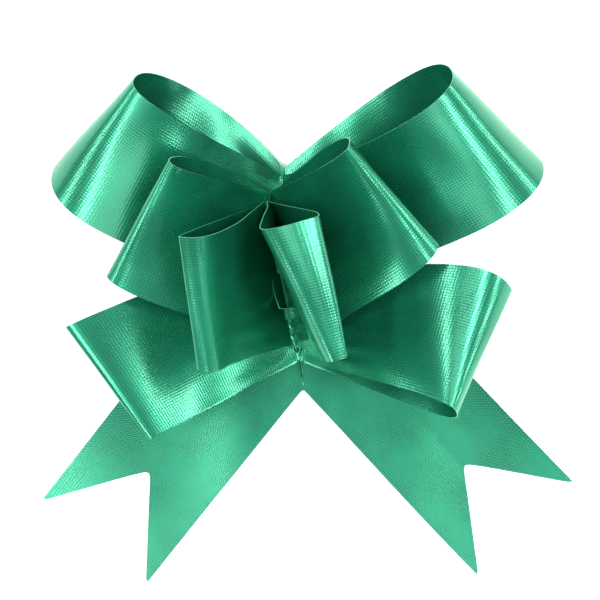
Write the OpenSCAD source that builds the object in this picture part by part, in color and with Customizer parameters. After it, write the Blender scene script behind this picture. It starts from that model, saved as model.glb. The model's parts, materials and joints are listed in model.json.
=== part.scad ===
// Butterfly pull bow of one wide ribbon, gathered on a narrow pull ribbon.
// +Z points away from the gift, +Y up and +X to the right. Z = 0 is the flat back of the knot.
// Going along the ribbon: left tail, upper right loop, lower left loop, middle right loop, centre
// left loop, valley, centre right loop, middle left loop, lower right loop, upper left loop, right
// tail. It crosses the crease at the middle between each of these and the next one.

/* [Ribbon] */
// Width of the wide ribbon
ribbon_w = 32; // [26:0.5:39]
// Thickness of the wide ribbon
ribbon_t = 0.2; // [0.15:0.01:0.26]

/* [Crease] */
// Height of the rearmost layer's middle above the back of the knot
layer_start = 1.6; // [1.4:0.05:2.2]
// Distance from one layer of ribbon to the next at the crease
layer_pitch = 1.4; // [1.1:0.05:1.8]
// Distance from the crease line to where each loop's fold line starts
crease_half = 2.4; // [2:0.1:3]
// Gap between a loop's end and the crossing that it hangs on
crease_gap = 0.3; // [0.2:0.05:0.5]
// How far right of the middle the crease line lies at the back
crease_start = 2.2; // [1:0.1:3]
// How far the crease line drifts to the left for each millimetre forwards
crease_drift = 0.3; // [0.1:0.05:0.4]
// Slant of the crease line at the back, and its growth for each millimetre forwards
crease_slant = [0.05, 0.012]; // [0:0.001:0.1]

/* [Pull ribbon] */
// Width of the narrow pull ribbon
strand_w = 5; // [3:0.5:6]
// Thickness of the pull ribbon
strand_t = 0.3; // [0.2:0.05:0.4]
// Distance from the middle of the crease to each strand's middle
strand_y = 7.5; // [6:0.25:9]
// Clearance round a strand in its slot
slot_gap = 0.15; // [0.05:0.05:0.3]
// Gap between the upper and the lower crossings where they pass each other
neck_gap = 5; // [4:0.5:6]
// Width, length and height of the knot
knot = [4.6, 9, 1.1]; // [1:0.1:12]
// How far left of the crease line the middle of the knot lies
knot_shift = 0.3; // [0:0.1:0.5]
// Width of the pull ribbon where it lies folded flat
bridge_w = 3; // [2:0.25:4]
// Height of the bridge's back face above the middle of the foremost layer
bridge_lift = 0.35; // [0.3:0.05:0.6]
// Length of the trimmed ends of the pull ribbon
tie_end_l = 15; // [8:0.5:20]
// Distance from the knot's middle to where a trimmed end comes out of it
tie_start = 5.5; // [4.5:0.25:7]
// Directions of the two trimmed ends
tie_end_turn = [94, -87]; // [-180:1:180]

/* [Tails] */
// Places of each tail's ends along the crease, which follow the edges of the ribbon: top, bottom
tail_root = [22.5, -27]; // [-30:0.5:30]
// Middle of the left tail's two tips
tail_left_tip = [-46.1, -63, 0.5]; // [-80:0.1:80]
// Middle of the right tail's two tips
tail_right_tip = [56.6, -60, 0.5]; // [-80:0.1:80]
// Headings of the left and right tails at their tips
tail_heading = [-128.5, -45.5]; // [-180:0.5:0]
// Depth of the swallow-tail notch
notch_depth = 21.5; // [12:0.5:26]
// Radius at the bottom of the notch
notch_r = 1.2; // [0.5:0.1:3]
// Width of the blunt end of each tip
tip_blunt = 0.5; // [0.2:0.1:2]
// Height of the arch of each tail between crease and tips
tail_arch = 0.4; // [0:0.1:3]

/* [Upper right loop] */
// Places of its ends along the crease: back top, back bottom, front top, front bottom
upper_right_root = [26, -18, 24, -4]; // [-30:0.5:30]
// Middle of its fold
upper_right_fold = [48, 35.5, 22.5]; // [-60:0.5:60]
// Direction across the ribbon at the fold: angle in plan, and tip upwards
upper_right_turn = [139, 24]; // [-180:1:180]
// Share of its length that leaves the crease straight: front, back
upper_right_share = [0.1, 0.37]; // [0:0.01:1]
// Fullness of its front: near the crease at top and bottom, at the fold at top and bottom
upper_right_front = [4, 0, 18.5, 29]; // [-5:0.5:35]
// Fullness of its back: near the crease at top and bottom, at the fold at top and bottom
upper_right_back = [7.5, 7, 20, 17.5]; // [-5:0.5:35]

/* [Upper left loop] */
// Places of its ends along the crease: back top, back bottom, front top, front bottom
upper_left_root = [26, -18, 24, -6]; // [-30:0.5:30]
// Middle of its fold
upper_left_fold = [-45, 35, 16]; // [-60:0.5:60]
// Direction across the ribbon at the fold: angle in plan, and tip upwards
upper_left_turn = [43, 32]; // [-180:1:180]
// Share of its length that leaves the crease straight: front, back
upper_left_share = [0.17, 0.33]; // [0:0.01:1]
// Fullness of its front: near the crease at top and bottom, at the fold at top and bottom
upper_left_front = [-0.5, 0, 9.5, 29]; // [-5:0.5:35]
// Fullness of its back: near the crease at top and bottom, at the fold at top and bottom
upper_left_back = [11.5, 1, 14, 7]; // [-5:0.5:35]

/* [Lower right loop] */
// Places of its ends along the crease: back top, back bottom, front top, front bottom
lower_right_root = [-1, -20, -1, -19.5]; // [-30:0.5:30]
// Middle of its fold
lower_right_fold = [44, -16.5, 29.5]; // [-60:0.5:60]
// Direction across the ribbon at the fold: angle in plan, and tip upwards
lower_right_turn = [63, -21]; // [-180:1:180]
// Share of its length that leaves the crease straight: front, back
lower_right_share = [0.1, 0.65]; // [0:0.01:1]
// Fullness of its front: near the crease at top and bottom, at the fold at top and bottom
lower_right_front = [-0.5, -1, 23, 6.5]; // [-5:0.5:35]
// Fullness of its back: near the crease at top and bottom, at the fold at top and bottom
lower_right_back = [-0.5, 4.5, 2.5, 11]; // [-5:0.5:35]

/* [Lower left loop] */
// Places of its ends along the crease: back top, back bottom, front top, front bottom
lower_left_root = [8, -20, 8, -19.5]; // [-30:0.5:30]
// Middle of its fold
lower_left_fold = [-41, -24.5, 21]; // [-60:0.5:60]
// Direction across the ribbon at the fold: angle in plan, and tip upwards
lower_left_turn = [127, -2]; // [-180:1:180]
// Share of its length that leaves the crease straight: front, back
lower_left_share = [0.1, 0.91]; // [0:0.01:1]
// Fullness of its front: near the crease at top and bottom, at the fold at top and bottom
lower_left_front = [0.5, 0, 5.5, 2.5]; // [-5:0.5:35]
// Fullness of its back: near the crease at top and bottom, at the fold at top and bottom
lower_left_back = [-0.5, 0.5, 2.5, 3.5]; // [-5:0.5:35]

/* [Middle right loop] */
// Places of its ends along the crease: back top, back bottom, front top, front bottom
middle_right_root = [20, -16.5, 20, -16.5]; // [-30:0.5:30]
// Middle of its fold
middle_right_fold = [23.5, 17, 39]; // [-60:0.5:60]
// Direction across the ribbon at the fold: angle in plan, and tip upwards
middle_right_turn = [134, 24]; // [-180:1:180]
// Share of its length that leaves the crease straight: front, back
middle_right_share = [0.45, 0.87]; // [0:0.01:1]
// Fullness of its front: near the crease at top and bottom, at the fold at top and bottom
middle_right_front = [3, 0.5, 3, 10.5]; // [-5:0.5:35]
// Fullness of its back: near the crease at top and bottom, at the fold at top and bottom
middle_right_back = [12.5, 0.5, 2.5, 2.5]; // [-5:0.5:35]

/* [Middle left loop] */
// Places of its ends along the crease: back top, back bottom, front top, front bottom
middle_left_root = [19.5, -16.5, 19.5, -16.5]; // [-30:0.5:30]
// Middle of its fold
middle_left_fold = [-33.5, 12.5, 30]; // [-60:0.5:60]
// Direction across the ribbon at the fold: angle in plan, and tip upwards
middle_left_turn = [59, 23]; // [-180:1:180]
// Share of its length that leaves the crease straight: front, back
middle_left_share = [0.1, 0.63]; // [0:0.01:1]
// Fullness of its front: near the crease at top and bottom, at the fold at top and bottom
middle_left_front = [-2, 0, 6, 9.5]; // [-5:0.5:35]
// Fullness of its back: near the crease at top and bottom, at the fold at top and bottom
middle_left_back = [11.5, 0, 2.5, 2.5]; // [-5:0.5:35]

/* [Centre right loop] */
// Places of its ends along the crease: back top, back bottom, front top, front bottom
centre_right_root = [17.5, -16, 17.5, -16]; // [-30:0.5:30]
// Middle of its fold
centre_right_fold = [9.5, -3, 48]; // [-60:0.5:60]
// Direction across the ribbon at the fold: angle in plan, and tip upwards
centre_right_turn = [103, 16]; // [-180:1:180]
// Share of its length that leaves the crease straight: front, back
centre_right_share = [0.76, 0.43]; // [0:0.01:1]
// Fullness of its front: near the crease at top and bottom, at the fold at top and bottom
centre_right_front = [7, 2, 20.5, 7]; // [-5:0.5:35]
// Fullness of its back: near the crease at top and bottom, at the fold at top and bottom
centre_right_back = [0.5, -2, 4, 2.5]; // [-5:0.5:35]

/* [Centre left loop] */
// Places of its ends along the crease: back top, back bottom, front top, front bottom
centre_left_root = [17.5, -16, 17.5, -16]; // [-30:0.5:30]
// Middle of its fold
centre_left_fold = [-21, -6.5, 44]; // [-60:0.5:60]
// Direction across the ribbon at the fold: angle in plan, and tip upwards
centre_left_turn = [97, 25]; // [-180:1:180]
// Share of its length that leaves the crease straight: front, back
centre_left_share = [0.9, 0.66]; // [0:0.01:1]
// Fullness of its front: near the crease at top and bottom, at the fold at top and bottom
centre_left_front = [9.5, -1.5, 5, 8]; // [-5:0.5:35]
// Fullness of its back: near the crease at top and bottom, at the fold at top and bottom
centre_left_back = [0, 3, 2, 2.5]; // [-5:0.5:35]

/* [Hidden] */

LEFT = -1;
RIGHT = 1;
UPPER = 1; // the upper half of the crease, where one strand goes through
LOWER = -1;
arc_steps = 22; // steps along each half of a loop
across_steps = 3; // steps across the ribbon
tail_steps = 14; // steps along a tail
tail_straight = 0.33; // share of a tail that keeps the direction of each end
neck_half = 0.8; // half the length of the gathered neck of a crossing, along X
mouth_overrun = 1; // how far the notch's cutter runs past the tips
front_layer = 9; // the valley between the centre loops
crossing_reach = crease_half - crease_gap;
bridge_z = layer_z(front_layer) + bridge_lift;
tie_z = knot[2] - strand_t;
tie_end_z = 0.2; // height of the trimmed ends' back faces
knot_x = crease_x(0, 0) - knot_shift;
knot_corner = 1.5;
ribbon_dark = "#0e6b4c";
ribbon_mid = "#147a57";
ribbon_light = "#1f8f67";
strand_colour = "#3fae86";

function unit(v) = v / norm(v);
function mix(a, b, t) = a + (b - a) * t;
function bezier(p, t) =
    pow(1 - t, 3) * p[0] + 3 * pow(1 - t, 2) * t * p[1] + 3 * (1 - t) * t * t * p[2] + pow(t, 3) * p[3];

// Height of a layer's middle: layer 1 is the rearmost
function layer_z(layer) = layer_start + layer_pitch * (layer - 1);
// The crease line leans, and drifts to the left as the layers come forwards
function crease_x(y, z) =
    crease_start - crease_drift * z - (crease_slant[0] + crease_slant[1] * z) * y;
// A point on one side's fold line, at a height and a place along the crease
function fold_line(side, y, z, half = crease_half) = [crease_x(y, z) + side * half, y, z];

// Unit vector across the ribbon at a loop's fold: turned in plan, then tipped up
function across(turn) =
    [cos(turn[1]) * cos(turn[0]), cos(turn[1]) * sin(turn[0]), sin(turn[1])];
function upright(v) = v[2] < 0 ? -v : v;

// One edge of a loop, from its front end round the fold to its back end.
// front and back are [share of the length that leaves straight, swell near the crease, round at the fold]
function loop_edge(front_end, back_end, fold, out, front, back) =
    let (
        f = fold - front_end,
        b = fold - back_end,
        near = [front_end, front_end + front[0] * f + front[1] * out, fold + front[2] * out, fold],
        far = [fold, fold - back[2] * out, back_end + back[0] * b - back[1] * out, back_end]
    )
    concat(
        [for (i = [0:arc_steps]) bezier(near, i / arc_steps)],
        [for (i = [1:arc_steps]) bezier(far, i / arc_steps)]
    );

// A closed thin solid between two edges that have the same number of points
module ribbon(top, bottom, thick = ribbon_t, steps = across_steps) {
    rows = len(top);
    cols = steps + 1;
    count = rows * cols;
    mid = [for (i = [0:rows - 1]) [for (j = [0:steps]) mix(top[i], bottom[i], j / steps)]];
    normals = [for (i = [0:rows - 1]) [for (j = [0:steps])
        unit(cross(
            mid[min(i + 1, rows - 1)][j] - mid[max(i - 1, 0)][j],
            mid[i][min(j + 1, steps)] - mid[i][max(j - 1, 0)]
        ))]];
    skin_a = [for (i = [0:rows - 1]) for (j = [0:steps]) mid[i][j] + normals[i][j] * thick / 2];
    skin_b = [for (i = [0:rows - 1]) for (j = [0:steps]) mid[i][j] - normals[i][j] * thick / 2];
    function at(i, j) = i * cols + j;
    function wall(a, b) = [[a, b, b + count], [a, b + count, a + count]];
    faces = concat(
        [for (i = [0:rows - 2]) for (j = [0:steps - 1]) each [
            [at(i, j), at(i, j + 1), at(i + 1, j + 1)],
            [at(i, j), at(i + 1, j + 1), at(i + 1, j)],
            [count + at(i, j), count + at(i + 1, j + 1), count + at(i, j + 1)],
            [count + at(i, j), count + at(i + 1, j), count + at(i + 1, j + 1)]
        ]],
        [for (i = [0:rows - 2]) each wall(at(i, 0), at(i + 1, 0))],
        [for (i = [0:rows - 2]) each wall(at(i + 1, steps), at(i, steps))],
        [for (j = [0:steps - 1]) each wall(at(0, j + 1), at(0, j))],
        [for (j = [0:steps - 1]) each wall(at(rows - 1, j), at(rows - 1, j + 1))]
    );
    polyhedron(concat(skin_a, skin_b), faces, convexity = 8);
}

// A loop of ribbon on one side. Its back end is on layer back_layer and its front end is on the
// next one. root is [back top, back bottom, front top, front bottom] along the crease.
module loop(side, back_layer, root, fold, turn, share, front, back) {
    back_z = layer_z(back_layer);
    front_z = layer_z(back_layer + 1);
    back_top = fold_line(side, root[0], back_z);
    back_bottom = fold_line(side, root[1], back_z);
    front_top = fold_line(side, root[2], front_z);
    front_bottom = fold_line(side, root[3], front_z);
    b = across(turn);
    root_mid = (back_top + back_bottom + front_top + front_bottom) / 4;
    out = upright(unit(cross(fold - root_mid, b)));
    ribbon(
        loop_edge(front_top, back_top, fold + b * ribbon_w / 2, out,
            [share[0], front[0], front[2]], [share[1], back[0], back[2]]),
        loop_edge(front_bottom, back_bottom, fold - b * ribbon_w / 2, out,
            [share[0], front[1], front[3]], [share[1], back[1], back[3]])
    );
}

// A crossing: the short stretch of ribbon between the loops on either side of the crease. It
// narrows to half the crease, the upper or the lower, where a strand of the pull ribbon goes
// through a slot, so that a crossing that climbs passes beside the one that descends.
// left and right are [layer, top, bottom].
module crossing(left, right, lane) {
    neck_z = (layer_z(left[0]) + layer_z(right[0])) / 2;
    neck_slope = (layer_z(right[0]) - layer_z(left[0])) / (2 * crossing_reach) * neck_half;
    neck_top = lane == UPPER ? (left[1] + right[1]) / 2 : -neck_gap / 2;
    neck_bottom = lane == UPPER ? neck_gap / 2 : (left[2] + right[2]) / 2;
    difference() {
        ribbon(
            [
                fold_line(LEFT, left[1], layer_z(left[0]), crossing_reach),
                fold_line(LEFT, neck_top, neck_z - neck_slope, neck_half),
                fold_line(RIGHT, neck_top, neck_z + neck_slope, neck_half),
                fold_line(RIGHT, right[1], layer_z(right[0]), crossing_reach)
            ],
            [
                fold_line(LEFT, left[2], layer_z(left[0]), crossing_reach),
                fold_line(LEFT, neck_bottom, neck_z - neck_slope, neck_half),
                fold_line(RIGHT, neck_bottom, neck_z + neck_slope, neck_half),
                fold_line(RIGHT, right[2], layer_z(right[0]), crossing_reach)
            ]
        );
        strand(lane, neck_z - layer_pitch, neck_z + layer_pitch, slot_gap);
    }
}

// A strand of the pull ribbon between two heights, following the crease line as it drifts.
// Its width lies along the crease, and grow widens it all round, for cutting slots.
module strand(lane, from_z, to_z, grow = 0) {
    half_w = strand_w / 2 + grow;
    half_t = strand_t / 2 + grow;
    y = lane * strand_y;
    corners = [[-half_t, -half_w], [half_t, -half_w], [half_t, half_w], [-half_t, half_w]];
    points = [for (z = [from_z, to_z]) for (c = corners) [crease_x(y, z) + c[0], y + c[1], z]];
    polyhedron(points, [
        [0, 1, 2, 3], [7, 6, 5, 4],
        [0, 4, 5, 1], [1, 5, 6, 2], [2, 6, 7, 3], [3, 7, 4, 0]
    ]);
}

// A tail: it leaves the crossing behind an upper loop and ends in a swallow-tail notch
module tail(side, tip, heading) {
    z = layer_z(1);
    across_dir = [-side * sin(heading), side * cos(heading), 0];
    along = [cos(heading), sin(heading), 0];
    top = fold_line(side, tail_root[0], z);
    bottom = fold_line(side, tail_root[1], z);
    tip_top = tip + across_dir * ribbon_w / 2;
    tip_bottom = tip - across_dir * ribbon_w / 2;
    difference() {
        ribbon(tail_edge(top, tip_top, along), tail_edge(bottom, tip_bottom, along));
        translate([tip[0], tip[1], tip[2] - layer_pitch])
            rotate(heading)
                linear_extrude(2 * layer_pitch + tail_arch) notch_outline();
    }
}

// One edge of a tail, which leaves the crease straight and arrives along the tail's heading
function tail_edge(start, end, along) =
    let (
        l = norm(end - start),
        lift = [0, 0, tail_arch],
        near = mix(start, end, tail_straight) + lift,
        far = end - along * l * tail_straight + lift
    )
    [for (i = [0:tail_steps]) bezier([start, near, far, end], i / tail_steps)];

// The notch in plan: its mouth is at the tips, and it runs back along the tail
module notch_outline() {
    mouth = ribbon_w - 2 * tip_blunt;
    apex = notch_r / sin(atan(mouth / 2 / notch_depth));
    hull() {
        translate([-notch_depth + apex, 0]) circle(notch_r, $fn = 24);
        translate([0, -mouth / 2]) square([mouth_overrun, mouth]);
    }
}

// A narrow piece of pull ribbon lying flat, from one place in plan to another
module flat_strip(from, to, z) {
    d = to - from;
    translate([from[0], from[1], z])
        rotate(atan2(d[1], d[0]))
            translate([0, -bridge_w / 2, 0]) cube([norm(d), bridge_w, strand_t]);
}

module upper_loop_right() {
    color(ribbon_mid)
        loop(RIGHT, 2, upper_right_root, upper_right_fold, upper_right_turn, upper_right_share,
            upper_right_front, upper_right_back);
}

module upper_loop_left() {
    color(ribbon_mid)
        loop(LEFT, 2, upper_left_root, upper_left_fold, upper_left_turn, upper_left_share,
            upper_left_front, upper_left_back);
}

module lower_loop_right() {
    color(ribbon_dark)
        loop(RIGHT, 4, lower_right_root, lower_right_fold, lower_right_turn, lower_right_share,
            lower_right_front, lower_right_back);
}

module lower_loop_left() {
    color(ribbon_dark)
        loop(LEFT, 4, lower_left_root, lower_left_fold, lower_left_turn, lower_left_share,
            lower_left_front, lower_left_back);
}

module middle_loop_right() {
    color(ribbon_mid)
        loop(RIGHT, 6, middle_right_root, middle_right_fold, middle_right_turn, middle_right_share,
            middle_right_front, middle_right_back);
}

module middle_loop_left() {
    color(ribbon_mid)
        loop(LEFT, 6, middle_left_root, middle_left_fold, middle_left_turn, middle_left_share,
            middle_left_front, middle_left_back);
}

module centre_loop_right() {
    color(ribbon_light)
        loop(RIGHT, 8, centre_right_root, centre_right_fold, centre_right_turn, centre_right_share,
            centre_right_front, centre_right_back);
}

module centre_loop_left() {
    color(ribbon_light)
        loop(LEFT, 8, centre_left_root, centre_left_fold, centre_left_turn, centre_left_share,
            centre_left_front, centre_left_back);
}

module tail_left() {
    color(ribbon_dark) tail(LEFT, tail_left_tip, tail_heading[0]);
}

module tail_right() {
    color(ribbon_dark) tail(RIGHT, tail_right_tip, tail_heading[1]);
}

// One end of a crossing: its layer and its top and bottom places along the crease. The root is
// that of the loop it joins, at the loop's back end or its front end
function back_end(layer, root) = [layer, root[0], root[1]];
function front_end(layer, root) = [layer, root[2], root[3]];
tail_end = [1, tail_root[0], tail_root[1]];

module crossing_tail_left() {
    color(ribbon_dark) crossing(tail_end, back_end(2, upper_right_root), UPPER);
}

module crossing_tail_right() {
    color(ribbon_dark) crossing(back_end(2, upper_left_root), tail_end, LOWER);
}

module crossing_upper_right() {
    color(ribbon_mid) crossing(back_end(4, lower_left_root), front_end(3, upper_right_root), UPPER);
}

module crossing_upper_left() {
    color(ribbon_mid) crossing(front_end(3, upper_left_root), back_end(4, lower_right_root), LOWER);
}

module crossing_middle_right() {
    color(ribbon_mid) crossing(front_end(5, lower_left_root), back_end(6, middle_right_root), UPPER);
}

module crossing_middle_left() {
    color(ribbon_mid) crossing(back_end(6, middle_left_root), front_end(5, lower_right_root), LOWER);
}

module crossing_centre_left() {
    color(ribbon_light) crossing(back_end(8, centre_left_root), front_end(7, middle_right_root), UPPER);
}

module crossing_centre_right() {
    color(ribbon_light) crossing(front_end(7, middle_left_root), back_end(8, centre_right_root), LOWER);
}

// The foremost layer: the ribbon between the two centre loops, with a slot for each strand
module centre_valley() {
    z = layer_z(front_layer);
    function corner(side, place) = fold_line(side, place, z, crossing_reach);
    color(ribbon_dark)
        difference() {
            ribbon(
                [corner(LEFT, centre_left_root[2]), corner(RIGHT, centre_right_root[2])],
                [corner(LEFT, centre_left_root[3]), corner(RIGHT, centre_right_root[3])]
            );
            for (lane = [UPPER, LOWER])
                strand(lane, z - layer_pitch, z + layer_pitch, slot_gap);
        }
}

// The strands run from the knot's level at the back to the bridge over the valley
module pull_ribbon_upper() {
    color(strand_colour) strand(UPPER, tie_z + strand_t, bridge_z);
}

module pull_ribbon_lower() {
    color(strand_colour) strand(LOWER, tie_z + strand_t, bridge_z);
}

// The pull ribbon crosses the valley from slot to slot, and is welded into a small tab at its end
module pull_ribbon_bridge() {
    color(strand_colour)
        flat_strip([crease_x(strand_y, bridge_z), strand_y + strand_w / 2],
            [crease_x(-strand_y, bridge_z), -strand_y - strand_w / 2], bridge_z);
}

// The pull ribbon's ends are tied behind the rearmost layer, in a knot pressed flat at the back
module pull_ribbon_knot() {
    inner = [knot[0] - 2 * knot_corner, knot[1] - 2 * knot_corner];
    color(strand_colour) {
        translate([knot_x, 0, 0])
            linear_extrude(knot[2]) offset(knot_corner) square(inner, center = true);
        for (lane = [UPPER, LOWER])
            flat_strip([knot_x, 0],
                [crease_x(lane * strand_y, tie_z), lane * (strand_y + strand_w / 2)], tie_z);
    }
}

// A trimmed end of the pull ribbon, lying behind the bow
module tie_end(turn) {
    start = [knot_x + cos(turn) * tie_start, sin(turn) * tie_start];
    end = start + tie_end_l * [cos(turn), sin(turn)];
    color(strand_colour) flat_strip(start, end, tie_end_z);
}

module tie_end_upper() tie_end(tie_end_turn[0]);

module tie_end_lower() tie_end(tie_end_turn[1]);

tail_left();
tail_right();
upper_loop_left();
upper_loop_right();
lower_loop_left();
lower_loop_right();
middle_loop_left();
middle_loop_right();
centre_loop_left();
centre_loop_right();
crossing_tail_left();
crossing_tail_right();
crossing_upper_left();
crossing_upper_right();
crossing_middle_left();
crossing_middle_right();
crossing_centre_left();
crossing_centre_right();
centre_valley();
pull_ribbon_upper();
pull_ribbon_lower();
pull_ribbon_bridge();
pull_ribbon_knot();
tie_end_upper();
tie_end_lower();
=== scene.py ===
"""A butterfly pull bow: its wide embossed ribbon, its narrow pull ribbon, and a plain studio."""

import json
import logging
import math
from dataclasses import dataclass, field
from enum import Enum

import bpy
import numpy as np
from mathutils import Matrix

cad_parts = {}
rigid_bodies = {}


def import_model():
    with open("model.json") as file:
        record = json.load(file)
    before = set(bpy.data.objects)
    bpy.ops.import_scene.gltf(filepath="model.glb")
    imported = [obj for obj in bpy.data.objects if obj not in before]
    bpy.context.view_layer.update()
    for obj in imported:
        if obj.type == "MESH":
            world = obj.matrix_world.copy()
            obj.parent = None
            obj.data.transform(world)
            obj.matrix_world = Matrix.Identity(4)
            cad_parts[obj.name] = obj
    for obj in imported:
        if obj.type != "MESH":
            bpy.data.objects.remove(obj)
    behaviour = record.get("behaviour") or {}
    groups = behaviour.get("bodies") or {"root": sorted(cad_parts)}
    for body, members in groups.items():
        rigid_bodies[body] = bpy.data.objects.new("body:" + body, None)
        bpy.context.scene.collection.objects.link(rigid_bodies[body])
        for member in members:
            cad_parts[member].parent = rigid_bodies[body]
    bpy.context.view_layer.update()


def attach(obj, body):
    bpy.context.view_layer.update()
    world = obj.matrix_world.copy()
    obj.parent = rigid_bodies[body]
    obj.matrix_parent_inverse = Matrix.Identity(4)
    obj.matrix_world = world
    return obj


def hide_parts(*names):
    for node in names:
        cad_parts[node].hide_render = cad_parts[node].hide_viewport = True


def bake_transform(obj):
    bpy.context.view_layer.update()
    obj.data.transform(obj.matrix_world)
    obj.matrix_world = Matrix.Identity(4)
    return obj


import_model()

MM = 0.001
RIBBON_WIDTH = 32.0
EMERALD = (0.005, 0.128, 0.068)
EMERALD_SHEEN = (0.24, 1.0, 0.64)
# Cut-edge colour, paler than the faces: partly the slit edge's own lighter tone, partly a painted
# highlight for light caught along the rim.
EMERALD_CUT_AND_HIGHLIGHT = (0.05, 0.42, 0.23)
log = logging.getLogger("bow")

Point = np.ndarray


class Side(Enum):
    """The side of the crease that a loop or a tail lies on."""

    LEFT = -1
    RIGHT = 1


class Lane(Enum):
    """The half of the crease, and its strand of pull ribbon, that a crossing is gathered on."""

    UPPER = 1
    LOWER = -1


def point(x: float, y: float, z: float) -> Point:
    """Returns a point as an array, in millimetres."""
    return np.array([x, y, z], float)


def unit(v: Point) -> Point:
    """Returns v at a length of one."""
    return v / np.linalg.norm(v)


def bezier(p: list[Point], t: np.ndarray) -> np.ndarray:
    """Points along a cubic curve.

    Args:
        p: The four control points.
        t: Places along the curve, from 0 to 1.

    Returns:
        One row for each place.
    """
    s = t[:, None]
    return (1 - s) ** 3 * p[0] + 3 * (1 - s) ** 2 * s * p[1] + 3 * (1 - s) * s * s * p[2] + s ** 3 * p[3]


def arc_lengths(rows: np.ndarray) -> np.ndarray:
    """Returns the distance along a row of points, from its first point to each point."""
    steps = np.linalg.norm(np.diff(rows, axis=0), axis=1)
    return np.concatenate([[0.0], np.cumsum(steps)])


def smoothstep(t: np.ndarray) -> np.ndarray:
    """Returns 0 to 1, with a soft start and end, for t from 0 to 1."""
    t = np.clip(t, 0, 1)
    return t * t * (3 - 2 * t)


def deselect() -> None:
    """Deselects every object, the nodes of the frame included."""
    for o in bpy.context.view_layer.objects:
        o.select_set(False)


def join(pieces: list[bpy.types.Object]) -> bpy.types.Object:
    """Joins pieces into the first of them and returns it."""
    deselect()
    for piece in pieces:
        piece.select_set(True)
    bpy.context.view_layer.objects.active = pieces[0]
    bpy.ops.object.join()
    return pieces[0]


@dataclass(frozen=True)
class RibbonFinish:
    """Satin polypropylene with a fine embossed pattern of raised dots."""

    name: str
    base: tuple[float, float, float]
    tint: tuple[float, float, float]
    roughness: float = 0.27
    metallic: float = 0.5
    ior: float = 2.1
    coat: float = 0.25
    coat_roughness: float = 0.16
    emboss_pitch: float = 0.95
    emboss_depth: float = 0.009
    emboss_strength: float = 0.9
    emboss_turn: float = 45.0
    # How far the embossed dots lighten and darken the colour: painted highlight and shade on the relief.
    dot_painted_light: float = 0.16
    mottle: float = 0.22
    mottle_scale: float = 90.0
    mottle_detail: float = 3.0
    mottle_span: tuple[float, float] = (0.3, 0.7)

    def material(self) -> bpy.types.Material:
        """Returns the finish as a procedural material that follows the ribbon's own UV map."""
        mat = bpy.data.materials.new(self.name)
        mat.use_nodes = True
        nodes, links = mat.node_tree.nodes, mat.node_tree.links
        shader = nodes["Principled BSDF"]
        shader.inputs["Roughness"].default_value = self.roughness
        shader.inputs["Metallic"].default_value = self.metallic
        shader.inputs["IOR"].default_value = self.ior
        shader.inputs["Coat Weight"].default_value = self.coat
        shader.inputs["Coat Roughness"].default_value = self.coat_roughness
        shader.inputs["Specular Tint"].default_value = (*self.tint, 1)
        uv = nodes.new("ShaderNodeUVMap")
        uv.uv_map = "ribbon"
        turn = nodes.new("ShaderNodeMapping")
        turn.inputs["Rotation"].default_value = (0, 0, math.radians(self.emboss_turn))
        pitch = 2 * math.pi / (self.emboss_pitch * MM)
        turn.inputs["Scale"].default_value = (pitch, pitch, pitch)
        links.new(uv.outputs["UV"], turn.inputs["Vector"])
        split = nodes.new("ShaderNodeSeparateXYZ")
        links.new(turn.outputs["Vector"], split.inputs["Vector"])
        waves = []
        for axis in ("X", "Y"):
            wave = nodes.new("ShaderNodeMath")
            wave.operation = "SINE"
            links.new(split.outputs[axis], wave.inputs[0])
            waves.append(wave)
        dots = nodes.new("ShaderNodeMath")
        dots.operation = "MULTIPLY"
        links.new(waves[0].outputs[0], dots.inputs[0])
        links.new(waves[1].outputs[0], dots.inputs[1])
        bump = nodes.new("ShaderNodeBump")
        bump.inputs["Strength"].default_value = self.emboss_strength
        bump.inputs["Distance"].default_value = self.emboss_depth * MM
        links.new(dots.outputs[0], bump.inputs["Height"])
        links.new(bump.outputs["Normal"], shader.inputs["Normal"])
        links.new(bump.outputs["Normal"], shader.inputs["Coat Normal"])
        links.new(self.colour(nodes, links, dots), shader.inputs["Base Color"])
        return mat

    def colour(
        self,
        nodes: bpy.types.Nodes,
        links: bpy.types.NodeLinks,
        dots: bpy.types.Node,
    ) -> bpy.types.NodeSocket:
        """Adds the colour: a soft mottle, and dots a little lighter than the ground, a painted highlight
        and shade that follow the embossed dots.

        Args:
            nodes: The material's nodes.
            links: The material's links.
            dots: The node that gives the height of the embossed dots.

        Returns:
            The socket that carries the colour.
        """
        where = nodes.new("ShaderNodeTexCoord")
        cloud = nodes.new("ShaderNodeTexNoise")
        cloud.inputs["Scale"].default_value = self.mottle_scale
        cloud.inputs["Detail"].default_value = self.mottle_detail
        links.new(where.outputs["Object"], cloud.inputs["Vector"])
        # Painted highlight and shade: the dots' height lightens and darkens the colour, standing in for
        # light caught by the embossing.
        height = nodes.new("ShaderNodeMath")
        height.operation = "MULTIPLY_ADD"
        height.inputs[1].default_value = self.dot_painted_light
        links.new(dots.outputs[0], height.inputs[0])
        links.new(cloud.outputs["Fac"], height.inputs[2])
        ramp = nodes.new("ShaderNodeValToRGB")
        shares = (1 - self.mottle, 1 + self.mottle)
        for element, place, share in zip(ramp.color_ramp.elements, self.mottle_span, shares):
            element.position = place
            element.color = (*(c * share for c in self.base), 1)
        links.new(height.outputs[0], ramp.inputs["Fac"])
        return ramp.outputs["Color"]


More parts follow.
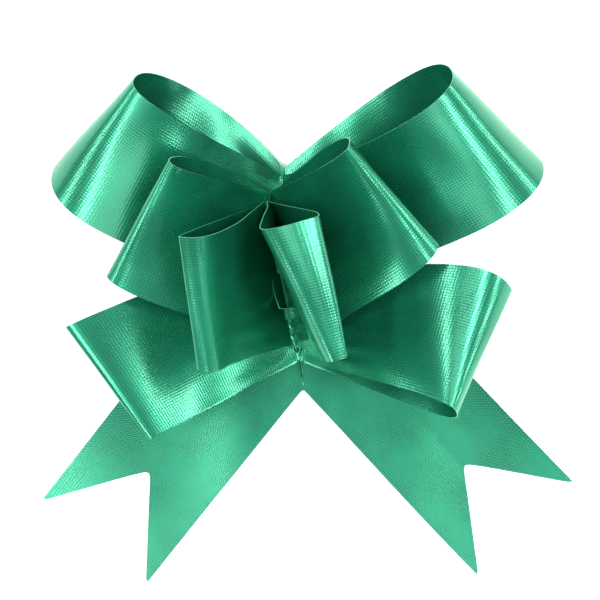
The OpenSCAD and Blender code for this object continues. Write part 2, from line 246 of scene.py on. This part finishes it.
@dataclass(frozen=True)
class EdgeFinish:
    """The cut edge of the ribbon, paler than its faces: partly its own lighter tone from slitting, partly
    a painted highlight for light caught along the rim.
    """

    name: str
    base: tuple[float, float, float]
    roughness: float = 0.4
    grain_scale: float = 1500.0
    grain_shade: float = 0.85

    def material(self) -> bpy.types.Material:
        """Returns the finish as a material with a fine grain from slitting."""
        mat = bpy.data.materials.new(self.name)
        mat.use_nodes = True
        nodes, links = mat.node_tree.nodes, mat.node_tree.links
        shader = nodes["Principled BSDF"]
        shader.inputs["Roughness"].default_value = self.roughness
        where = nodes.new("ShaderNodeTexCoord")
        grain = nodes.new("ShaderNodeTexNoise")
        grain.inputs["Scale"].default_value = self.grain_scale
        ramp = nodes.new("ShaderNodeValToRGB")
        ramp.color_ramp.elements[0].color = (*(c * self.grain_shade for c in self.base), 1)
        ramp.color_ramp.elements[1].color = (*self.base, 1)
        links.new(where.outputs["Object"], grain.inputs["Vector"])
        links.new(grain.outputs["Fac"], ramp.inputs["Fac"])
        links.new(ramp.outputs["Color"], shader.inputs["Base Color"])
        return mat


@dataclass(frozen=True)
class FloorFinish:
    """Plain matt white."""

    name: str = "white_floor"
    base: tuple[float, float, float] = (0.93, 0.93, 0.93)
    roughness: float = 0.9

    def material(self) -> bpy.types.Material:
        """Returns the finish as a plain material."""
        mat = bpy.data.materials.new(self.name)
        mat.use_nodes = True
        shader = mat.node_tree.nodes["Principled BSDF"]
        shader.inputs["Base Color"].default_value = (*self.base, 1)
        shader.inputs["Roughness"].default_value = self.roughness
        return mat


@dataclass(frozen=True)
class Ribbon:
    """A ribbon's stock: its size, and what dresses it."""

    face: bpy.types.Material
    edge: bpy.types.Material
    width: float = RIBBON_WIDTH
    thickness: float = 0.2
    slot: str = "ribbon"

    def sheet(self, name: str, grid: np.ndarray, width: float | None = None) -> bpy.types.Object:
        """Builds a piece of ribbon with two faces and a cut edge all round.

        Args:
            name: The piece's name.
            grid: Its middle surface in millimetres: rows along it, columns across it.
            width: Its width where the columns aren't the full ribbon's width.

        Returns:
            The new object, with the UV map "ribbon" in metres of flat ribbon.
        """
        rows, cols = grid.shape[:2]
        along = np.gradient(grid, axis=0)
        across = np.gradient(grid, axis=1)
        normal = np.cross(along, across)
        normal /= np.linalg.norm(normal, axis=2, keepdims=True)
        half = normal * self.thickness / 2
        skins = np.concatenate([(grid + half).reshape(-1, 3), (grid - half).reshape(-1, 3)]) * MM
        count = rows * cols
        at = np.arange(count).reshape(rows, cols)
        a, b, c, d = at[:-1, :-1], at[:-1, 1:], at[1:, 1:], at[1:, :-1]
        upper = np.stack([a, d, c, b], -1).reshape(-1, 4)
        lower = np.stack([a, b, c, d], -1).reshape(-1, 4) + count
        ring = np.concatenate([at[0, :], at[1:, -1], at[-1, -2::-1], at[-2:0:-1, 0]])
        following = np.roll(ring, -1)
        rim = np.stack([ring, following, following + count, ring + count], -1)
        faces = np.concatenate([upper, lower, rim])
        mesh = bpy.data.meshes.new(name)
        mesh.from_pydata(skins.tolist(), [], faces.tolist())
        mesh.materials.append(self.face)
        mesh.materials.append(self.edge)
        mesh.polygons.foreach_set("use_smooth", np.ones(len(faces), bool))
        kinds = np.zeros(len(faces), np.int32)
        kinds[len(upper) + len(lower):] = 1
        mesh.polygons.foreach_set("material_index", kinds)
        self.lay_uv(mesh, grid, width or self.width)
        mesh.set_sharp_from_angle(angle=math.radians(50))
        piece = bpy.data.objects.new(name, mesh)
        bpy.context.scene.collection.objects.link(piece)
        return piece

    def lay_uv(self, mesh: bpy.types.Mesh, grid: np.ndarray, width: float) -> None:
        """Gives the mesh its UV map, as the ribbon would lie flat.

        Args:
            mesh: The mesh that sheet() has built from the grid.
            grid: The middle surface in millimetres.
            width: The flat width of the piece in millimetres.
        """
        rows, cols = grid.shape[:2]
        lengths = np.mean([arc_lengths(grid[:, j]) for j in (0, cols // 2, cols - 1)], axis=0)
        u = np.repeat(lengths[:, None], cols, 1)
        v = np.repeat(np.linspace(-width / 2, width / 2, cols)[None, :], rows, 0)
        flat = np.stack([u, v], -1).reshape(-1, 2) * MM
        flat = np.concatenate([flat, flat])
        corner = np.zeros(len(mesh.loops), np.int32)
        mesh.loops.foreach_get("vertex_index", corner)
        layer = mesh.uv_layers.new(name="ribbon")
        layer.data.foreach_set("uv", flat[corner].ravel())


@dataclass(frozen=True)
class Crease:
    """The gathered middle of the bow, where nine layers of ribbon lie on each other."""

    start: float = 2.2
    drift: float = 0.3
    slant: tuple[float, float] = (0.05, 0.012)
    half: float = 2.4
    gap: float = 0.3
    layer_start: float = 1.6
    layer_pitch: float = 1.4
    neck_gap: float = 5.0
    pinch: float = 0.9
    pinch_start: float = 9.0
    pinch_length: float = 9.0

    @property
    def reach(self) -> float:
        """The distance from the crease line to a crossing's ends."""
        return self.half - self.gap

    def layer_z(self, layer: int) -> float:
        """Returns the height of a layer's middle; layer 1 is the rearmost."""
        return self.layer_start + self.layer_pitch * (layer - 1)

    def x(self, y: float, z: float) -> float:
        """Returns where the crease line lies at a place along it and a height."""
        return self.start - self.drift * z - (self.slant[0] + self.slant[1] * z) * y

    def fold_line(self, side: Side, y: float, z: float, half: float | None = None) -> Point:
        """A point on one side's fold line, which draws in towards both ends of the crease.

        Args:
            side: The side of the crease.
            y: The place along the crease.
            z: The height.
            half: The distance from the crease line, or None for a loop's own.

        Returns:
            The point.
        """
        past = (abs(y) - self.pinch_start) / self.pinch_length
        drawn_in = 1 - self.pinch * float(smoothstep(np.array(past)))
        reach = (self.half if half is None else half) * drawn_in
        return point(self.x(y, z) + side.value * reach, y, z)

    def bend(self, piece: bpy.types.Object, body: str) -> bpy.types.Object:
        """Hides a body's own node for a piece, and bakes the piece's transform into its mesh.

        Args:
            piece: The piece that leaves the crease.
            body: The body whose node the piece stands for.

        Returns:
            The same piece.
        """
        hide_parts(body)
        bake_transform(piece)
        return piece


@dataclass
class Loop:
    """One loop of the wide ribbon, which stands on its crease and folds back on itself.

    root is its ends along the crease: back top, back bottom, front top and front bottom. turn is
    the direction across the ribbon at the fold: the angle in plan, and the tip upwards. share is
    how much of its length leaves the crease straight: front and back. front and back are its
    fullness near the crease at top and bottom, and at the fold at top and bottom.
    """

    name: str
    side: Side
    back_layer: int
    root: tuple[float, float, float, float]
    fold: tuple[float, float, float]
    turn: tuple[float, float]
    share: tuple[float, float]
    front: tuple[float, float, float, float]
    back: tuple[float, float, float, float]
    phase: float = 0.0
    steps: int = 60
    columns: int = 28
    ripple: float = 0.2
    ripple_pitch: float = 5.5
    ripple_reach: float = 6.0
    sway: float = 0.14
    sway_lengths: tuple[float, float] = (37.0, 17.0)
    sway_skew: float = 0.6
    sway_share: float = 0.6
    sway_start: float = 3.0

    @property
    def body(self) -> str:
        """The name of the loop's body in the frame."""
        return f"{self.name}_loop_{self.side.name.lower()}"

    def rims(self, crease: Crease) -> tuple[np.ndarray, np.ndarray]:
        """Returns the loop's top and bottom edges, each from its front end to its back end."""
        back_z, front_z = crease.layer_z(self.back_layer), crease.layer_z(self.back_layer + 1)
        ends = [
            crease.fold_line(self.side, self.root[0], back_z),
            crease.fold_line(self.side, self.root[1], back_z),
            crease.fold_line(self.side, self.root[2], front_z),
            crease.fold_line(self.side, self.root[3], front_z),
        ]
        plan, tip = (math.radians(a) for a in self.turn)
        across = point(math.cos(tip) * math.cos(plan), math.cos(tip) * math.sin(plan), math.sin(tip))
        fold = np.array(self.fold, float)
        out = unit(np.cross(fold - sum(ends) / 4, across))
        out = -out if out[2] < 0 else out
        half = across * RIBBON_WIDTH / 2
        made = []
        for k, edge in enumerate((fold + half, fold - half)):
            made.append(self.rim(crease, ends[2 + k], ends[k], edge, out, k))
        return made[0], made[1]

    def rim(
        self, crease: Crease, front_end: Point, back_end: Point, fold: Point, out: Point, k: int
    ) -> np.ndarray:
        """One edge of the loop, run on through the gap to the crossings at both ends.

        Args:
            crease: The crease that the loop stands on.
            front_end: The edge's front end.
            back_end: Its back end.
            fold: Where it folds back.
            out: The direction in which the loop is full.
            k: 0 for the top edge and 1 for the bottom edge.

        Returns:
            The points of the edge.
        """
        t = np.linspace(0, 1, self.steps + 1)
        near = [
            front_end,
            front_end + self.share[0] * (fold - front_end) + self.front[k] * out,
            fold + self.front[2 + k] * out,
            fold,
        ]
        far = [
            fold,
            fold - self.back[2 + k] * out,
            back_end + self.share[1] * (fold - back_end) - self.back[k] * out,
            back_end,
        ]
        first = front_end - point(self.side.value * crease.gap, 0, 0)
        last = back_end - point(self.side.value * crease.gap, 0, 0)
        return np.vstack([first, bezier(near, t), bezier(far, t[1:]), last])

    def surface(self, crease: Crease) -> np.ndarray:
        """Returns the loop's middle surface, with its gathers and the sway of loose ribbon."""
        top, bottom = self.rims(crease)
        v = np.linspace(0, 1, self.columns + 1)
        grid = top[:, None] * (1 - v)[None, :, None] + bottom[:, None] * v[None, :, None]
        normal = np.cross(np.gradient(grid, axis=0), np.gradient(grid, axis=1))
        normal /= np.linalg.norm(normal, axis=2, keepdims=True)
        length = arc_lengths(grid[:, self.columns // 2])
        from_end = np.minimum(length, length[-1] - length)[:, None] / self.ripple_reach
        gathered = from_end * np.exp(1 - from_end)
        pleats = np.sin(2 * math.pi * v[None, :] * RIBBON_WIDTH / self.ripple_pitch + self.phase)
        middle = smoothstep(from_end / self.sway_start)
        long_wave, short_wave = (length[:, None] / wave for wave in self.sway_lengths)
        waves = np.sin(2 * math.pi * (long_wave + v[None, :] * self.sway_skew) + self.phase)
        second = np.sin(2 * math.pi * (short_wave - v[None, :]) + 2 * self.phase)
        waves = waves + self.sway_share * second
        lift = self.ripple * gathered * pleats + self.sway * middle * waves
        return grid + normal * lift[..., None]

    def build(self, crease: Crease, ribbon: Ribbon) -> bpy.types.Object:
        """Builds the loop and hides its node of the frame.

        Args:
            crease: The crease that it stands on.
            ribbon: The ribbon that it is made from.

        Returns:
            The finished loop.
        """
        piece = ribbon.sheet(f"{self.name}_{self.side.name.lower()}_ribbon_loop", self.surface(crease))
        return crease.bend(piece, self.body)

    def flat_length(self, crease: Crease) -> float:
        """Returns the length of flat ribbon in the loop, in metres."""
        rims = self.rims(crease)
        return float(np.mean([arc_lengths(rim)[-1] for rim in rims])) * MM


@dataclass
class Tail:
    """A free end of the wide ribbon, cut to a swallow-tail.

    tip is the middle of its end, and heading the direction that it ends in, in degrees. root is
    its top and bottom places along the crease.
    """

    side: Side
    tip: tuple[float, float, float]
    heading: float
    root: tuple[float, float] = (22.5, -27.0)
    notch_depth: float = 21.5
    notch_round: float = 0.84
    tip_blunt: float = 0.5
    arch: float = 0.4
    straight: float = 0.33
    rows: int = 90
    columns: int = 40
    edge_steps: int = 240
    sway: float = 0.34
    sway_waves: tuple[float, float] = (1.6, 0.5)
    sway_growth: float = 3.0

    @property
    def body(self) -> str:
        """The name of the tail's body in the frame."""
        return f"tail_{self.side.name.lower()}"

    def edges(self, crease: Crease) -> list[np.ndarray]:
        """Returns the tail's top and bottom edges, each from the crease to its tip."""
        z = crease.layer_z(1)
        turn = math.radians(self.heading)
        along = point(math.cos(turn), math.sin(turn), 0)
        across = point(-self.side.value * math.sin(turn), self.side.value * math.cos(turn), 0)
        lift = point(0, 0, self.arch)
        t = np.linspace(0, 1, self.edge_steps)
        made = []
        for k, sign in enumerate((1, -1)):
            start = crease.fold_line(self.side, self.root[k], z)
            end = np.array(self.tip) + sign * across * RIBBON_WIDTH / 2
            length = np.linalg.norm(end - start)
            near = start + (end - start) * self.straight + lift
            far = end - along * length * self.straight + lift
            first = start - point(self.side.value * crease.gap, 0, 0)
            made.append(np.vstack([first, bezier([start, near, far, end], t)]))
        return made

    def notch(self, v: np.ndarray) -> np.ndarray:
        """Returns how far the ribbon is cut back at places from 0 to 1 across it."""
        half = RIBBON_WIDTH / 2
        mouth = half - self.tip_blunt
        slope = self.notch_depth / mouth
        deepest = math.hypot(slope * mouth, self.notch_round)
        across = (v - 0.5) * 2 * half
        return np.maximum(0, deepest - np.hypot(slope * across, self.notch_round))

    def surface(self, crease: Crease) -> np.ndarray:
        """Returns the tail's middle surface, whose rows end on the notch."""
        edges = self.edges(crease)
        lengths = [arc_lengths(e) for e in edges]
        mean = (lengths[0][-1] + lengths[1][-1]) / 2
        v = np.linspace(0, 1, self.columns + 1)
        cut = self.notch(v)
        i = np.linspace(1, 0, self.rows + 1)[:, None]
        from_tip = (cut[None, :] + i * (mean - cut[None, :])) / mean
        sides = []
        for edge, length in zip(edges, lengths):
            share = length[-1] / mean - 1
            place = length[-1] - mean * (from_tip + share * from_tip ** 2)
            sides.append(np.stack([np.interp(place, length, edge[:, k]) for k in range(3)], -1))
        grid = sides[0] * (1 - v)[None, :, None] + sides[1] * v[None, :, None]
        loose = smoothstep((1 - from_tip) * self.sway_growth)
        along, across = self.sway_waves
        wave = np.sin(2 * math.pi * (from_tip * along + v[None, :] * across) + self.side.value)
        grid[..., 2] += self.sway * loose * wave
        return grid

    def build(self, crease: Crease, ribbon: Ribbon) -> bpy.types.Object:
        """Builds the tail and hides its node of the frame.

        Args:
            crease: The crease that it leaves.
            ribbon: The ribbon that it is made from.

        Returns:
            The finished tail.
        """
        piece = ribbon.sheet(f"{self.side.name.lower()}_swallow_tail", self.surface(crease))
        return crease.bend(piece, self.body)

    def flat_size(self, crease: Crease) -> tuple[float, float, float]:
        """Returns the tail's flat width, length and cut area, in metres and square metres."""
        width = RIBBON_WIDTH * MM
        length = float(np.mean([arc_lengths(e)[-1] for e in self.edges(crease)])) * MM
        notch = self.notch_depth * MM * (width - 2 * self.tip_blunt * MM) / 2
        return width, length, width * length - notch


@dataclass
class Crossing:
    """A stretch of ribbon through the crease, pleated down to one half of it.

    left and right are its ends: the layer, and the top and bottom places along the crease. lane is
    the half that it is gathered on, or None for the valley, which keeps its width.
    """

    name: str
    left: tuple[int, float, float]
    right: tuple[int, float, float]
    lane: Lane | None
    rows: int = 14
    columns: int = 48
    pleat: float = 0.35
    pleat_pitch: float = 2.6
    neck_power: float = 0.7

    def surface(self, crease: Crease) -> np.ndarray:
        """Returns the crossing's middle surface, with pleats along the ribbon at its neck."""
        ends = []
        for side, (layer, *places) in ((Side.LEFT, self.left), (Side.RIGHT, self.right)):
            z = crease.layer_z(layer)
            ends.append([crease.fold_line(side, y, z, crease.reach) for y in places])
        v = np.linspace(0, 1, self.columns + 1)
        s = np.linspace(0, 1, self.rows + 1)
        neck = np.sin(math.pi * s) ** self.neck_power
        top = np.array([ends[0][0] * (1 - k) + ends[1][0] * k for k in s])
        bottom = np.array([ends[0][1] * (1 - k) + ends[1][1] * k for k in s])
        if self.lane is Lane.UPPER:
            bottom[:, 1] += neck * (crease.neck_gap / 2 - bottom[:, 1])
        if self.lane is Lane.LOWER:
            top[:, 1] += neck * (-crease.neck_gap / 2 - top[:, 1])
        grid = top[:, None] * (1 - v)[None, :, None] + bottom[:, None] * v[None, :, None]
        width = abs(self.left[1] - self.left[2])
        pleats = np.sin(2 * math.pi * v * width / self.pleat_pitch)[None, :]
        grid[..., 2] += self.pleat * neck[:, None] * pleats
        return grid

    def build(self, crease: Crease, ribbon: Ribbon) -> bpy.types.Object:
        """Builds the crossing on the spine and hides its node of the frame.

        Args:
            crease: The crease that it passes through.
            ribbon: The ribbon that it is made from.

        Returns:
            The finished crossing.
        """
        piece = ribbon.sheet(f"{self.name}_pleats", self.surface(crease))
        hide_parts(self.name)
        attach(piece, "spine")
        return piece


@dataclass
class WideRibbon:
    """The whole wide ribbon, from the left tail to the right one."""

    crease: Crease
    ribbon: Ribbon
    loops: list[Loop] = field(default_factory=list)
    tails: list[Tail] = field(default_factory=list)

    def __post_init__(self) -> None:
        """Sets out the eight loops and the two tails."""
        left, right = Side.LEFT, Side.RIGHT
        self.loops = [
            Loop("upper", right, 2, (26, -18, 24, -4), (48, 35.5, 22.5), (139, 24),
                 (0.1, 0.37), (4, 0, 18.5, 29), (7.5, 7, 20, 17.5), 0.4),
            Loop("upper", left, 2, (26, -18, 24, -6), (-45, 35, 16), (43, 32),
                 (0.17, 0.33), (-0.5, 0, 9.5, 29), (11.5, 1, 14, 7), 1.7),
            Loop("lower", right, 4, (-1, -20, -1, -19.5), (44, -16.5, 29.5), (63, -21),
                 (0.1, 0.65), (-0.5, -1, 23, 6.5), (-0.5, 4.5, 2.5, 11), 2.9),
            Loop("lower", left, 4, (8, -20, 8, -19.5), (-41, -24.5, 21), (127, -2),
                 (0.1, 0.91), (0.5, 0, 5.5, 2.5), (-0.5, 0.5, 2.5, 3.5), 4.1),
            Loop("middle", right, 6, (20, -16.5, 20, -16.5), (23.5, 17, 39), (134, 24),
                 (0.45, 0.87), (3, 0.5, 3, 10.5), (12.5, 0.5, 2.5, 2.5), 5.2),
            Loop("middle", left, 6, (19.5, -16.5, 19.5, -16.5), (-33.5, 12.5, 30), (59, 23),
                 (0.1, 0.63), (-2, 0, 6, 9.5), (11.5, 0, 2.5, 2.5), 0.9),
            Loop("centre", right, 8, (17.5, -16, 17.5, -16), (9.5, -3, 48), (103, 16),
                 (0.76, 0.43), (7, 2, 20.5, 7), (0.5, -2, 4, 2.5), 2.2),
            Loop("centre", left, 8, (17.5, -16, 17.5, -16), (-21, -6.5, 44), (97, 25),
                 (0.9, 0.66), (9.5, -1.5, 5, 8), (0, 3, 2, 2.5), 3.6),
        ]
        self.tails = [
            Tail(left, (-46.1, -63, 0.5), -128.5),
            Tail(right, (56.6, -60, 0.5), -45.5),
        ]

    def crossings(self) -> list[Crossing]:
        """Returns the crossings, each with its ends taken from the pieces that it joins."""
        roots = {loop.body: loop.root for loop in self.loops}
        tail = (1, *Tail.root)

        def back(layer: int, body: str) -> tuple[int, float, float]:
            """Returns a crossing's end at a loop's back end."""
            return layer, roots[body][0], roots[body][1]

        def front(layer: int, body: str) -> tuple[int, float, float]:
            """Returns a crossing's end at a loop's front end."""
            return layer, roots[body][2], roots[body][3]

        upper, lower = Lane.UPPER, Lane.LOWER
        return [
            Crossing("crossing_tail_left", tail, back(2, "upper_loop_right"), upper),
            Crossing("crossing_tail_right", back(2, "upper_loop_left"), tail, lower),
            Crossing("crossing_upper_right", back(4, "lower_loop_left"),
                     front(3, "upper_loop_right"), upper),
            Crossing("crossing_upper_left", front(3, "upper_loop_left"),
                     back(4, "lower_loop_right"), lower),
            Crossing("crossing_middle_right", front(5, "lower_loop_left"),
                     back(6, "middle_loop_right"), upper),
            Crossing("crossing_middle_left", back(6, "middle_loop_left"),
                     front(5, "lower_loop_right"), lower),
            Crossing("crossing_centre_left", back(8, "centre_loop_left"),
                     front(7, "middle_loop_right"), upper),
            Crossing("crossing_centre_right", front(7, "middle_loop_left"),
                     back(8, "centre_loop_right"), lower),
            Crossing("centre_valley", front(9, "centre_loop_left"), front(9, "centre_loop_right"), None),
        ]

    def build(self) -> list[bpy.types.Object]:
        """Builds every loop, tail and crossing, and returns them."""
        pieces = []
        for loop in self.loops:
            piece = loop.build(self.crease, self.ribbon)
            loop.flat_length(self.crease)
            pieces.append(piece)
        for tail in self.tails:
            piece = tail.build(self.crease, self.ribbon)
            flat_w, flat_l, area = tail.flat_size(self.crease)
            pieces.append(piece)
        for crossing in self.crossings():
            pieces.append(crossing.build(self.crease, self.ribbon))
        return pieces


@dataclass
class Knot:
    """The knot behind the bow: two turns of the pull ribbon drawn flat across each other."""

    centre: tuple[float, float] = (1.9, 0.0)
    core: tuple[float, float, float] = (4.2, 5.6, 0.9)
    turn_size: tuple[float, float, float] = (2.3, 6.6, 0.8)
    turn_angles: tuple[float, float] = (34.0, -40.0)
    turn_heights: tuple[float, float] = (0.68, 0.42)
    roundness: float = 0.36
    clearance: float = 0.05

    def lump(self, size: tuple[float, float, float], height: float, angle: float) -> bpy.types.Object:
        """Adds one softly rounded turn of the knot.

        Args:
            size: Its width, length and thickness.
            height: The height of its middle.
            angle: How far it is turned from the line of the crease, in degrees.

        Returns:
            The new turn, with its modifiers applied.
        """
        deselect()
        place = (self.centre[0] * MM, self.centre[1] * MM, height * MM)
        bpy.ops.mesh.primitive_cube_add(size=1, location=place, rotation=(0, 0, math.radians(angle)))
        made = bpy.context.object
        made.scale = [c * MM for c in size]
        bpy.ops.object.transform_apply(location=True, rotation=True, scale=True)
        round_off = made.modifiers.new("round_off", "BEVEL")
        round_off.width = self.roundness * MM
        round_off.segments = 4
        bpy.ops.object.modifier_apply(modifier=round_off.name)
        bpy.ops.object.shade_smooth_by_angle(angle=math.radians(40))
        return made

    def build(self, finish: bpy.types.Material) -> bpy.types.Object:
        """Builds the knot as one piece and returns it."""
        lumps = [self.lump(self.core, self.core[2] / 2 + self.clearance, 0)]
        for angle, height in zip(self.turn_angles, self.turn_heights):
            lumps.append(self.lump(self.turn_size, height, angle))
        knot = join(lumps)
        knot.name = "knot_turns"
        knot.data.materials.clear()
        knot.data.materials.append(finish)
        return knot


@dataclass
class PullRibbon:
    """The narrow ribbon that gathers the bow: two strands, a fold over the valley, and a knot."""

    crease: Crease
    stock: Ribbon
    place: float = 7.5
    bottom: float = 1.1
    top: float = 13.15
    flat_width: float = 3.0
    flat_arch: float = 0.1
    ruffle: float = 0.08
    ruffle_turn: float = 7.0
    reach: float = 10.0
    bridge_height: float = 13.3
    bridge_drop: float = 0.05
    tab_height: float = 4.5
    tab_foot: float = 0.1
    tab_span: tuple[float, float] = (-7.5, 0.5)
    tab_taper: float = 0.55
    tab_lean: float = 1.6
    tab_curl: float = 0.5
    tab_turn: float = 3.0
    tie_height: float = 0.93
    lead_start: float = 2.0
    end_height: float = 0.35
    end_start: float = 5.5
    end_length: float = 15.0
    end_slant: float = 2.4
    end_turns: tuple[float, float] = (94.0, -87.0)
    strand_rows: int = 16
    flat_rows: int = 25
    tab_rows: int = 20
    columns: int = 6

    def strand(self, lane: Lane) -> bpy.types.Object:
        """Builds the strand that passes through one lane's slots, and returns it."""
        y0 = lane.value * self.place
        heights = np.linspace(self.bottom, self.top, self.strand_rows)
        across = np.linspace(-1, 1, self.columns + 1) * self.stock.width / 2
        grid = np.array([[point(self.crease.x(y0, z), y0 + w, z) for w in across] for z in heights])
        name = lane.name.lower()
        return self.settle(self.stock.sheet(f"{name}_strand", grid), f"pull_ribbon_{name}")

    def flat_run(self, name: str, line: list[Point], width: float, slant: float = 0.0) -> bpy.types.Object:
        """Builds a stretch of the pull ribbon that lies flat, a little arched across.

        Args:
            name: The piece's name.
            line: Its two ends.
            width: Its width.
            slant: How much longer one edge is than the other at the far end.

        Returns:
            The new piece.
        """
        along = unit(line[1] - line[0])
        side = unit(np.cross(point(0, 0, 1), along))
        length = np.linalg.norm(line[1] - line[0])
        across = np.linspace(-1, 1, self.columns + 1)
        rows = []
        for t in np.linspace(0, 1, self.flat_rows):
            row = []
            for w in across:
                reach = length - slant * (1 + w) / 2
                arch = self.flat_arch * math.cos(w * math.pi / 2)
                height = arch + self.ruffle * math.sin(t * self.ruffle_turn + w)
                row.append(line[0] + along * reach * t + side * w * width / 2 + point(0, 0, height))
            rows.append(row)
        return self.stock.sheet(name, np.array(rows), width)

    def bridge(self) -> bpy.types.Object:
        """Builds the fold over the valley, with the welded tab that stands up from it."""
        z = self.bridge_height
        ends = [point(self.crease.x(y, z), y, z - self.bridge_drop) for y in (self.reach, -self.reach)]
        run = self.flat_run("valley_bridge", ends, self.flat_width)
        rows = []
        for y in np.linspace(*self.tab_span, self.tab_rows):
            share = (y - self.tab_span[0]) / (self.tab_span[1] - self.tab_span[0])
            foot = point(self.crease.x(y, z), y, z + self.tab_foot)
            height = self.tab_height * (1 - self.tab_taper * share)
            row = []
            for t in np.linspace(0, 1, self.columns + 1):
                lean = -self.tab_lean * t * t - self.tab_curl * math.sin(self.tab_turn * share) * t
                row.append(foot + point(lean, 0, height * t))
            rows.append(row)
        tab = self.stock.sheet("tab", np.array(rows), self.tab_height)
        join([run, tab])
        return self.settle(run, "pull_ribbon_bridge")

    def knot(self) -> bpy.types.Object:
        """Builds the knot and the two stretches that lead from it to the strands."""
        knot = Knot().build(self.stock.face)
        runs = []
        for lane in Lane:
            far = lane.value * self.reach
            line = [
                point(Knot.centre[0], lane.value * self.lead_start, self.tie_height),
                point(self.crease.x(lane.value * self.place, self.tie_height), far, self.tie_height),
            ]
            runs.append(self.flat_run(f"{lane.name.lower()}_lead", line, self.flat_width))
        join([knot, *runs])
        return self.settle(knot, "pull_ribbon_knot")

    def tie_end(self, lane: Lane, turn: float) -> bpy.types.Object:
        """Builds one trimmed end, cut on the slant.

        Args:
            lane: The end of the crease that it points to.
            turn: Its direction in degrees.

        Returns:
            The new piece.
        """
        heading = point(math.cos(math.radians(turn)), math.sin(math.radians(turn)), 0)
        start = point(*Knot.centre, self.end_height - self.flat_arch) + heading * self.end_start
        line = [start, start + heading * self.end_length]
        name = lane.name.lower()
        run = self.flat_run(f"{name}_trimmed_end", line, self.flat_width, self.end_slant)
        return self.settle(run, f"tie_end_{name}")

    def settle(self, piece: bpy.types.Object, node: str) -> bpy.types.Object:
        """Hides the frame's own node for a piece, fixes it to the spine and returns it."""
        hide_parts(node)
        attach(piece, "spine")
        return piece

    def build(self) -> list[bpy.types.Object]:
        """Builds every piece of the pull ribbon and returns them."""
        pieces = [self.strand(lane) for lane in Lane]
        pieces += [self.bridge(), self.knot()]
        pieces += [self.tie_end(lane, turn) for lane, turn in zip(Lane, self.end_turns)]
        return pieces


@dataclass(frozen=True)
class Strip:
    """A soft strip light: its angle from straight above, its bearing, its size and its power."""

    name: str
    polar: float
    bearing: float
    size: tuple[float, float]
    power: float
    distance: float = 0.6

    def build(self) -> None:
        """Adds the light, facing the bow, with its length square to its bearing."""
        polar, bearing = math.radians(self.polar), math.radians(self.bearing)
        place = (
            self.distance * math.sin(polar) * math.cos(bearing),
            self.distance * math.sin(polar) * math.sin(bearing),
            self.distance * math.cos(polar),
        )
        deselect()
        bpy.ops.object.light_add(type="AREA", location=place, rotation=(0, polar, bearing))
        lamp = bpy.context.object
        lamp.name = self.name
        lamp.data.shape = "RECTANGLE"
        lamp.data.size, lamp.data.size_y = self.size
        lamp.data.energy = self.power


@dataclass
class Studio:
    """A white floor, soft strips of light round the bow and a camera straight above."""

    camera_place: tuple[float, float, float] = (2.874, -5.5085, 450.0)
    view_width: float = 143.7
    sensor: float = 36.0
    floor_size: float = 3.0
    floor_drop: float = 0.05
    surroundings: float = 0.32
    strips: tuple[Strip, ...] = (
        Strip("strip_left", 27, 178, (0.05, 0.6), 3.2),
        Strip("strip_left_low", 62, 172, (0.05, 0.6), 2.0),
        Strip("strip_right", 31, 5, (0.07, 0.6), 3.5),
        Strip("strip_right_low", 70, 4, (0.05, 0.6), 2.0),
        Strip("strip_lower_left", 72, -112, (0.05, 0.4), 1.6),
        Strip("strip_lower_right", 66, -62, (0.05, 0.4), 1.2),
        Strip("strip_top", 24, 75, (0.04, 0.3), 0.5),
        Strip("overhead", 22, -98, (0.2, 0.4), 1.05),
    )

    def floor(self) -> None:
        """Adds the floor that the bow rests on."""
        deselect()
        bpy.ops.mesh.primitive_plane_add(size=self.floor_size, location=(0, 0, -self.floor_drop * MM))
        floor = bpy.context.object
        floor.name = "floor"
        floor.data.materials.append(FloorFinish().material())

    def build(self) -> None:
        """Builds the floor, the lights, the pale surroundings and the camera."""
        self.floor()
        for strip in self.strips:
            strip.build()
        world = bpy.context.scene.world or bpy.data.worlds.new("surroundings")
        bpy.context.scene.world = world
        world.use_nodes = True
        world.node_tree.nodes["Background"].inputs["Color"].default_value = (1, 1, 1, 1)
        world.node_tree.nodes["Background"].inputs["Strength"].default_value = self.surroundings
        data = bpy.data.cameras.new("camera")
        data.sensor_width = self.sensor
        data.lens = self.sensor * self.camera_place[2] / self.view_width
        camera = bpy.data.objects.new("camera", data)
        camera.location = [c * MM for c in self.camera_place]
        bpy.context.scene.collection.objects.link(camera)
        bpy.context.scene.camera = camera
        bpy.context.scene.view_settings.view_transform = "Standard"


def main() -> None:
    """Builds the bow and its studio, and logs each piece."""
    logging.basicConfig(level=logging.INFO, format="%(message)s")
    satin = RibbonFinish("emerald_satin", EMERALD, EMERALD_SHEEN)
    # The cut edges get their own paler tone plus a painted highlight along the rim.
    cut = EdgeFinish("cut_edge_painted_highlight", EMERALD_CUT_AND_HIGHLIGHT).material()
    plain = RibbonFinish("plain_satin", EMERALD, EMERALD_SHEEN, emboss_depth=0.003)
    crease = Crease()
    narrow = Ribbon(plain.material(), cut, width=5.0, thickness=0.22, slot="pull_ribbon")
    pieces = PullRibbon(crease, narrow).build()
    pieces += WideRibbon(crease, Ribbon(satin.material(), cut)).build()
    Studio().build()
    for piece in pieces:
        log.info("%s: %d faces", piece.name, len(piece.data.polygons))


if __name__ == "__main__":
    main()
